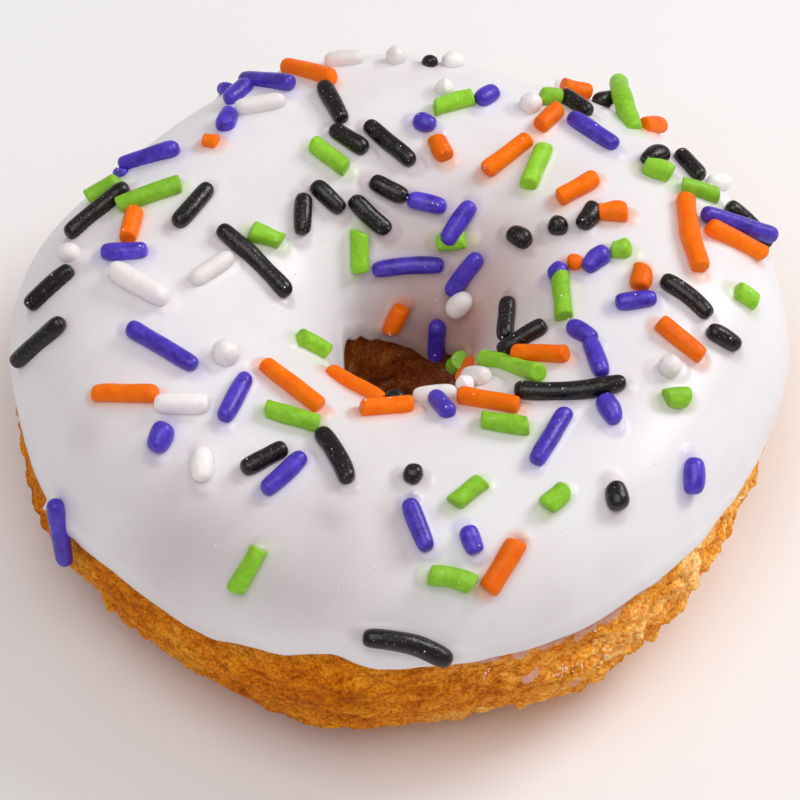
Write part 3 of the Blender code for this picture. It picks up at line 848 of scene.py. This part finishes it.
def on_line(line, share):
    """Point of a rod's line, eased through its five points, at a share from -1 to 1."""
    place = min(max((share + 1.0) * 2.0, 0.0), 4.0)
    index = min(int(place), 3)
    mark = place - index
    before = line[index - 1] if index else line[0] * 2.0 - line[1]
    after = line[index + 2] if index < 3 else line[4] * 2.0 - line[3]
    a, b = line[index], line[index + 1]
    turn_in, turn_out = (b - before) / 2.0, (after - a) / 2.0
    return (
        a * (2.0 * mark ** 3 - 3.0 * mark ** 2 + 1.0) + turn_in * (mark ** 3 - 2.0 * mark ** 2 + mark)
        + b * (3.0 * mark ** 2 - 2.0 * mark ** 3) + turn_out * (mark ** 3 - mark ** 2)
    )


def rod_stations(half, radius, end):
    """Where a rod's rings stand, as (share of its half length, share of its radius)."""
    stations = [(-1.0 + deep * radius / half, wide) for deep, wide in end if deep * radius < 0.95 * half]
    room = 2.0 * abs(stations[-1][0]) * half
    between = int(room / LUMP_EVERY)
    inner = [stations[-1][0] * (1.0 - 2.0 * (step + 1) / (between + 1)) for step in range(between)]
    mirrored = [(-share, wide) for share, wide in reversed(stations)]
    return stations + [(share, 1.0) for share in inner] + mirrored


def add_rod(mesh, tone, line, thickness, colour, draw):
    """Add one rod to a bmesh: a circle extruded ring by ring, closed at both ends."""
    half, radius = (line[4] - line[0]).length / 2.0, thickness / 2.0
    end, lumps, askew = ROD_SHAPES[colour]
    swell = 0.0
    if 2.0 * half < SHORT_ROD:
        lumps *= SHORT_LUMPS
        swell = SHORT_SWELL
    stations = rod_stations(half, radius, end)
    rings = [bmesh.ops.create_circle(mesh, segments=ROD_CAGE_SIDES, radius=radius, cap_ends=True)["verts"]]
    face = rings[0][0].link_faces[0]
    for count in range(len(stations) - 1):
        geom = [face, *face.edges, *face.verts]
        grown = bmesh.ops.extrude_face_region(mesh, geom=geom, use_keep_orig=count == 0)["geom"]
        face = next(item for item in grown if isinstance(item, bmesh.types.BMFace))
        rings.append([item for item in grown if isinstance(item, bmesh.types.BMVert)])
    side = (line[4] - line[0]).normalized().orthogonal().normalized()
    shade = draw.random()
    slants = [Vector((draw.uniform(-askew, askew), draw.uniform(-askew, askew), 0.0)) for both in range(2)]
    for (share, wide), corners in zip(stations, rings):
        middle = on_line(line, share)
        along = (on_line(line, share + 0.05) - on_line(line, share - 0.05)).normalized()
        across = along.cross(side).normalized()
        level = across.cross(along)
        size = radius * CAGE * wide * (1.0 + draw.uniform(-lumps, lumps) + swell * (1.0 - share * share))
        drift = (level * draw.uniform(-lumps, lumps) + across * draw.uniform(-lumps, lumps)) * radius
        slant = slants[0] if share < 0.0 else slants[1]
        near_end = smooth((abs(share) - 0.5) * 2.0)
        for corner in corners:
            angle = math.atan2(corner.co.y, corner.co.x)
            spoke = Vector((math.cos(angle), math.sin(angle), 0.0))
            knob = 1.0 + draw.uniform(-lumps, lumps) * 0.5
            lean = along * slant.dot(spoke) * size * near_end
            corner.co = middle + drift + lean + (level * spoke.x + across * spoke.y) * size * knob
            corner[tone] = (shade, shade, shade, 1.0)


def sprinkle_piece(colour):
    """All the rods of one colour as one piece."""
    draw = random.Random(colour)
    mesh = bmesh.new()
    tone = mesh.verts.layers.float_color.new("tone")
    for (line, thickness), rod_colour in zip(laid, colours):
        if rod_colour == colour:
            add_rod(mesh, tone, line, thickness, colour, draw)
    bmesh.ops.recalc_face_normals(mesh, faces=mesh.faces)
    piece = as_piece(colour + "_sprinkles", mesh)
    soften = piece.modifiers.new("soften", "SUBSURF")
    soften.levels = 2
    soften.render_levels = 2
    belong(piece, "icing")
    return piece


sprinkles = {colour: sprinkle_piece(colour) for colour in ROD_SHAPES}

# %% [markdown]
# Sugar dust
#
# Tumbling knocks dust off the sprinkles. It stays on the icing and the rods as specks a tenth of a
# millimetre across, and lies in small heaps on the torn crust. Specks are small balls with few faces,
# scattered by a seeded draw, half sunk.

# %% Specks
SPECKS = 320
SPECK_SIZES = (0.05 * MM, 0.11 * MM)
SPECKS_ON_RODS = 0.5
SPECK_LEAN = 0.6
SPECK_SUNK = 0.97
SPECK_MARGINS = (4.0, 12.0)
SPECK_HEAPS = (
    (558, 672, 5, 8), (566, 668, 4, 7), (576, 668, 4, 6), (584, 666, 3, 5), (562, 678, 3, 6),
    (606, 657, 3, 5), (738, 497, 4, 4), (718, 542, 5, 4), (486, 674, 5, 5), (600, 640, 9, 5),
)
SPECK_SEED = 12
draw = random.Random(SPECK_SEED)
mesh = bmesh.new()
for speck in range(SPECKS):
    size = draw.uniform(*SPECK_SIZES)
    if draw.random() < SPECKS_ON_RODS:
        point, radius, colour = draw.choice(rod_points)
        out = normal(*above_skin(point)[1:])
        lean = Vector((draw.uniform(-1.0, 1.0), draw.uniform(-1.0, 1.0), draw.uniform(0.0, 1.0)))
        place = point + (out + lean * SPECK_LEAN).normalized() * radius * SPECK_SUNK
    else:
        around = draw.uniform(0.0, 360.0)
        low, high = icing_edges(around)
        place = skin(around, draw.uniform(low + SPECK_MARGINS[0], high - SPECK_MARGINS[1]), LIP)
    bmesh.ops.create_icosphere(mesh, subdivisions=1, radius=size, matrix=Matrix.Translation(place))
for x, y, wide, count in SPECK_HEAPS:
    for speck in range(count):
        place = seen(x + draw.uniform(-wide, wide), y + draw.uniform(-wide, wide), CRUMB)
        size = draw.uniform(*SPECK_SIZES)
        bmesh.ops.create_icosphere(mesh, subdivisions=1, radius=size, matrix=Matrix.Translation(place))
specks = as_piece("sugar_dust", mesh)
belong(specks, "icing")

# %% [markdown]
# Materials
#
# Each finish is a small tree of nodes round one Principled shader. Colour comes from noise in the
# piece's own coordinates and from the paint on its corners, so it stays put when the doughnut is turned.

# %% Material helpers
def new_finish(name):
    """A material with its tree and its shader."""
    print("finish", name)
    material = bpy.data.materials.new(name)
    material.use_nodes = True
    tree = material.node_tree
    return material, tree, tree.nodes["Principled BSDF"]


def node(tree, kind, **settings):
    """Add a node and set its inputs by name or its own settings."""
    made = tree.nodes.new(kind)
    for key, value in settings.items():
        if key in made.inputs:
            made.inputs[key].default_value = value
        else:
            setattr(made, key, value)
    return made


def object_noise(tree, size, detail=4.0, roughness=0.55, squeeze=(1.0, 1.0, 1.0)):
    """Noise with marks of about the given size, squeezed along the axes."""
    place = node(tree, "ShaderNodeTexCoord")
    mapping = node(tree, "ShaderNodeMapping", Scale=squeeze)
    tree.links.new(place.outputs["Object"], mapping.inputs["Vector"])
    marks = node(tree, "ShaderNodeTexNoise", Scale=1.0 / size, Detail=detail, Roughness=roughness)
    tree.links.new(mapping.outputs["Vector"], marks.inputs["Vector"])
    return marks.outputs["Fac"]


def ramp(tree, value, stops):
    """Turn a value into a colour through (place, colour) stops."""
    made = node(tree, "ShaderNodeValToRGB")
    stripe = made.color_ramp
    stripe.elements[0].position, stripe.elements[0].color = stops[0][0], (*stops[0][1], 1.0)
    stripe.elements[1].position, stripe.elements[1].color = stops[-1][0], (*stops[-1][1], 1.0)
    for place, colour in stops[1:-1]:
        stripe.elements.new(place).color = (*colour, 1.0)
    tree.links.new(value, made.inputs["Fac"])
    return made.outputs["Color"]


def mixed(tree, share, first, second, way="MIX"):
    """Mix two colours, each a socket or a plain colour."""
    made = node(tree, "ShaderNodeMix", data_type="RGBA", blend_type=way)
    for socket, value in ((made.inputs[0], share), (made.inputs[6], first), (made.inputs[7], second)):
        if isinstance(value, bpy.types.NodeSocket):
            tree.links.new(value, socket)
        else:
            socket.default_value = value
    return made.outputs[2]


def bumped(tree, shader, height, depth, strength=1.0, under=None):
    """Give a shader a bump of the given depth in metres, over another one if there is one."""
    made = node(tree, "ShaderNodeBump", Distance=depth, Strength=strength)
    tree.links.new(height, made.inputs["Height"])
    if under is not None:
        tree.links.new(under, made.inputs["Normal"])
    tree.links.new(made.outputs["Normal"], shader.inputs["Normal"])
    return made.outputs["Normal"]


# %% [markdown]
# Icing is sugar with a little fat: light goes some way into it, so its shadows are soft and slightly
# lavender. Its gloss is a soft half gloss. The paint on the corners tints it near the sprinkles with dye
# and painted shade, and darkens it with painted shade in the hole and in near patches, partly thin icing.

# %% Icing finish
material, tree, shader = new_finish("poured_icing")
paint = node(tree, "ShaderNodeVertexColor", layer_name="paint")
milk = ((0.32, (0.82, 0.785, 0.80)), (0.55, (0.865, 0.845, 0.865)))
cloudy = ramp(tree, object_noise(tree, 11.0 * MM, 3.0), milk)
# The paint multiplies in dye bled from sprinkles and painted shade.
tree.links.new(mixed(tree, 1.0, cloudy, paint.outputs["Color"], "MULTIPLY"), shader.inputs["Base Color"])
shader.inputs["Roughness"].default_value = 0.34
shader.inputs["IOR"].default_value = 1.45
shader.inputs["Subsurface Weight"].default_value = 0.30
shader.inputs["Subsurface Radius"].default_value = (1.0, 0.72, 0.68)
shader.inputs["Subsurface Scale"].default_value = 1.0 * MM
bumped(tree, shader, object_noise(tree, 1.3 * MM, 3.0), 0.02 * MM, 0.5)
icing.data.materials.append(material)

# %% [markdown]
# The crust is brown where it stood out into the fat and pale where it lay in a fold. A large noise moves
# the colour between browns, a squeezed one lays darker and lighter streaks along the ring, and a fine one
# makes the light grains of broken crumb. Creases are painted darker and knobs lighter, as shade and
# light, from the crumb height in the paint. The right side is painted paler, as light that falls there,
# and the crust in the hole darker, as shade. The glaze has a ragged edge, so its paint is shaken by a
# fine noise before it is cut off.

# %% Crust finish
# Painted light: the crust is painted paler towards the right, where the light falls.
LIT_SIDE_FROM = -4.0 * MM
LIT_SIDE_TO = 20.0 * MM
LIT_SIDE_CRUST = (1.45, 1.92, 10.0, 1.0)
SHADY_BROWN = (0.46, 0.40, 3.5, 1.0)
RAGGED = 0.9
GLAZE_CUT = ((0.86, (0.0, 0.0, 0.0)), (1.04, (0.70, 0.70, 0.70)))
GLAZE_COLOUR = (0.90, 0.56, 0.50, 1.0)
material, tree, shader = new_finish("fried_crust")
paint = node(tree, "ShaderNodeVertexColor", layer_name="paint")
split = node(tree, "ShaderNodeSeparateColor")
tree.links.new(paint.outputs["Color"], split.inputs["Color"])
large = object_noise(tree, 10.0 * MM, 4.0, 0.6, (1.0, 1.0, 1.8))
browns = ramp(
    tree, large,
    ((0.34, (0.60, 0.12, 0.001)), (0.50, (0.83, 0.21, 0.003)), (0.68, (0.95, 0.33, 0.013))),
)
streaks = ramp(
    tree, object_noise(tree, 2.6 * MM, 7.0, 0.68, (1.0, 1.0, 3.2)),
    ((0.36, (0.68, 0.58, 0.48)), (0.49, (1.0, 1.0, 1.0)), (0.64, (1.12, 1.28, 1.6))),
)
grains = ramp(
    tree, object_noise(tree, 0.35 * MM, 3.0, 0.6, (1.0, 1.0, 1.4)),
    ((0.38, (0.72, 0.60, 0.45)), (0.47, (1.0, 1.0, 1.0)), (0.60, (1.20, 1.75, 4.0))),
)
# Painted shade in the creases and painted light on the knobs of the crumb.
crease_shade = ramp(
    tree, split.outputs["Red"],
    ((0.12, (0.62, 0.52, 0.40)), (0.42, (1.0, 1.0, 1.0)), (0.9, (1.06, 1.16, 1.4))),
)
crust = mixed(tree, 0.8, browns, streaks, "MULTIPLY")
crust = mixed(tree, 0.8, crust, grains, "MULTIPLY")
crust = mixed(tree, 0.9, crust, crease_shade, "MULTIPLY")
# Painted shade: the green paint darkens the crust deep in the hole.
crust = mixed(tree, split.outputs["Green"], crust, mixed(tree, 0.85, crust, SHADY_BROWN, "MULTIPLY"))
spot = node(tree, "ShaderNodeTexCoord")
sides = node(tree, "ShaderNodeSeparateXYZ")
tree.links.new(spot.outputs["Object"], sides.inputs["Vector"])
# Painted light on the right side of the crust.
lit_side = node(tree, "ShaderNodeMapRange", interpolation_type="SMOOTHSTEP")
tree.links.new(sides.outputs["X"], lit_side.inputs["Value"])
lit_side.inputs["From Min"].default_value = LIT_SIDE_FROM
lit_side.inputs["From Max"].default_value = LIT_SIDE_TO
crust = mixed(tree, lit_side.outputs["Result"], crust, mixed(tree, 1.0, crust, LIT_SIDE_CRUST, "MULTIPLY"))
shaken = node(tree, "ShaderNodeMath", operation="MULTIPLY_ADD")
tree.links.new(object_noise(tree, 0.7 * MM, 4.0, 0.65), shaken.inputs[0])
shaken.inputs[1].default_value = RAGGED
tree.links.new(split.outputs["Blue"], shaken.inputs[2])
crust = mixed(tree, ramp(tree, shaken.outputs["Value"], GLAZE_CUT), crust, GLAZE_COLOUR)
tree.links.new(crust, shader.inputs["Base Color"])
shader.inputs["Roughness"].default_value = 0.7
shader.inputs["Specular IOR Level"].default_value = 0.10
shader.inputs["Subsurface Weight"].default_value = 0.10
shader.inputs["Subsurface Radius"].default_value = (1.0, 0.4, 0.15)
shader.inputs["Subsurface Scale"].default_value = 0.7 * MM
coarse = bumped(tree, shader, object_noise(tree, 1.0 * MM, 6.0, 0.7, (1.0, 1.0, 2.2)), 0.30 * MM)
bumped(tree, shader, object_noise(tree, 0.3 * MM, 4.0, 0.7), 0.13 * MM, 1.0, coarse)
dough.data.materials.append(material)

# %% [markdown]
# Sprinkles are dyed sugar. All share one recipe: a base colour that drifts between a darker and a
# lighter tone from rod to rod and along each rod, a fine bump, and a satin to glossy surface. Each row
# gives the two tones, the roughness and the gloss. Black ones are the smoothest and carry pale specks.

# %% Sprinkle finishes
SPRINKLE_TONES = {
    "black": ((0.005, 0.003, 0.003), (0.014, 0.009, 0.009), 0.26, 0.42),
    "purple": ((0.042, 0.014, 0.36), (0.105, 0.055, 0.68), 0.32, 0.50),
    "green": ((0.23, 0.55, 0.012), (0.34, 0.73, 0.045), 0.44, 0.30),
    "orange": ((1.0, 0.145, 0.0), (1.0, 0.215, 0.001), 0.40, 0.18),
    "white": ((0.91, 0.85, 0.84), (0.94, 0.90, 0.89), 0.38, 0.40),
}
DULL_TO_FRESH = ((0.0, (0.86, 0.86, 0.86)), (1.0, (1.10, 1.10, 1.10)))
SPECK_CUT = ((0.70, (0.0, 0.0, 0.0)), (0.76, (1.0, 1.0, 1.0)))
PALE_SPECK = (0.45, 0.42, 0.45, 1.0)
for colour, (dark, light, rough, gloss) in SPRINKLE_TONES.items():
    material, tree, shader = new_finish(colour + "_sugar")
    tone = node(tree, "ShaderNodeVertexColor", layer_name="tone")
    drift = ramp(tree, object_noise(tree, 1.3 * MM, 6.0, 0.7), ((0.36, dark), (0.66, light)))
    base = mixed(tree, 1.0, drift, ramp(tree, tone.outputs["Color"], DULL_TO_FRESH), "MULTIPLY")
    if colour == "black":
        pale = ramp(tree, object_noise(tree, 0.17 * MM, 1.0), SPECK_CUT)
        base = mixed(tree, pale, base, PALE_SPECK)
    tree.links.new(base, shader.inputs["Base Color"])
    shader.inputs["Roughness"].default_value = rough
    shader.inputs["Specular IOR Level"].default_value = gloss
    shader.inputs["Subsurface Weight"].default_value = 0.0 if colour == "black" else 0.12
    shader.inputs["Subsurface Radius"].default_value = (1.0, 1.0, 1.0)
    shader.inputs["Subsurface Scale"].default_value = 0.4 * MM
    bumped(tree, shader, object_noise(tree, 0.85 * MM, 5.0, 0.5), 0.14 * MM, 0.85)
    sprinkles[colour].data.materials.append(material)

# %% [markdown]
# The dust is bare sugar, white and glassy, so that a speck catches the light here and there.

# %% Dust finish
material, tree, shader = new_finish("dust_sugar")
WHITES = ((0.4, (0.90, 0.88, 0.88)), (0.6, (0.98, 0.97, 0.97)))
tree.links.new(ramp(tree, object_noise(tree, 0.3 * MM, 1.0), WHITES), shader.inputs["Base Color"])
shader.inputs["Roughness"].default_value = 0.12
shader.inputs["Specular IOR Level"].default_value = 0.8
specks.data.materials.append(material)

# %% [markdown]
# Floor, light and camera
#
# The doughnut rests on a plain pale floor. The main light is a soft one from the right and behind, which
# shades the right wall of the hole and throws the sprinkles' shadows to the near left. A larger one hangs
# almost overhead, and a dim sky of a warm white fills the rest. The camera stands at the eye that was used
# to read the sprinkles.

# %% Floor
FLOOR_HALF = 1.5
mesh = bmesh.new()
bmesh.ops.create_grid(mesh, x_segments=1, y_segments=1, size=FLOOR_HALF)
floor = as_piece("floor", mesh)
material, tree, shader = new_finish("pale_floor")
PALES = ((0.3, (0.89, 0.89, 0.89)), (0.7, (0.91, 0.91, 0.91)))
tree.links.new(ramp(tree, object_noise(tree, 0.4, 2.0), PALES), shader.inputs["Base Color"])
shader.inputs["Roughness"].default_value = 0.8
floor.data.materials.append(material)

# %% Lights
def soft_light(name, azimuth, elevation, distance, size, power):
    """A square soft light that shines at the doughnut from that direction."""
    data = bpy.data.lights.new(name, "AREA")
    data.shape = "SQUARE"
    data.size = size
    data.energy = power
    lamp = bpy.data.objects.new(name, data)
    a, e = math.radians(azimuth), math.radians(elevation)
    lamp.location = Vector((math.cos(a) * math.cos(e), math.sin(a) * math.cos(e), math.sin(e))) * distance
    lamp.rotation_euler = (-lamp.location).to_track_quat("-Z", "Y").to_euler()
    bpy.context.scene.collection.objects.link(lamp)
    print(name, "watts", power)


soft_light("main_light", 27.0, 40.0, 0.6, 0.26, 1.70)
soft_light("high_light", 256.0, 73.0, 0.8, 0.6, 2.45)
world = bpy.data.worlds.new("sky")
world.use_nodes = True
world.node_tree.nodes["Background"].inputs["Color"].default_value = (1.0, 0.94, 0.94, 1.0)
world.node_tree.nodes["Background"].inputs["Strength"].default_value = 0.39
bpy.context.scene.world = world
bpy.context.scene.view_settings.view_transform = "Standard"

# %% Camera
PICTURE_SIZE = 800
SENSOR = 36.0
camera_data = bpy.data.cameras.new("camera")
camera_data.sensor_width = SENSOR
camera_data.lens = SIGHT_DISTANCE / POINT / PICTURE_SIZE * SENSOR
camera = bpy.data.objects.new("camera", camera_data)
camera.location = EYE
aim = picture_place(PICTURE_SIZE / 2.0, PICTURE_SIZE / 2.0)
camera.rotation_euler = (aim - EYE).to_track_quat("-Z", "Y").to_euler()
camera_data.clip_start = 0.01
bpy.context.scene.collection.objects.link(camera)
bpy.context.scene.camera = camera
print("lens", round(camera_data.lens, 1))

# %% [markdown]
# Last, the scene is brought up to date.

# %% Last update
bpy.context.view_layer.update()
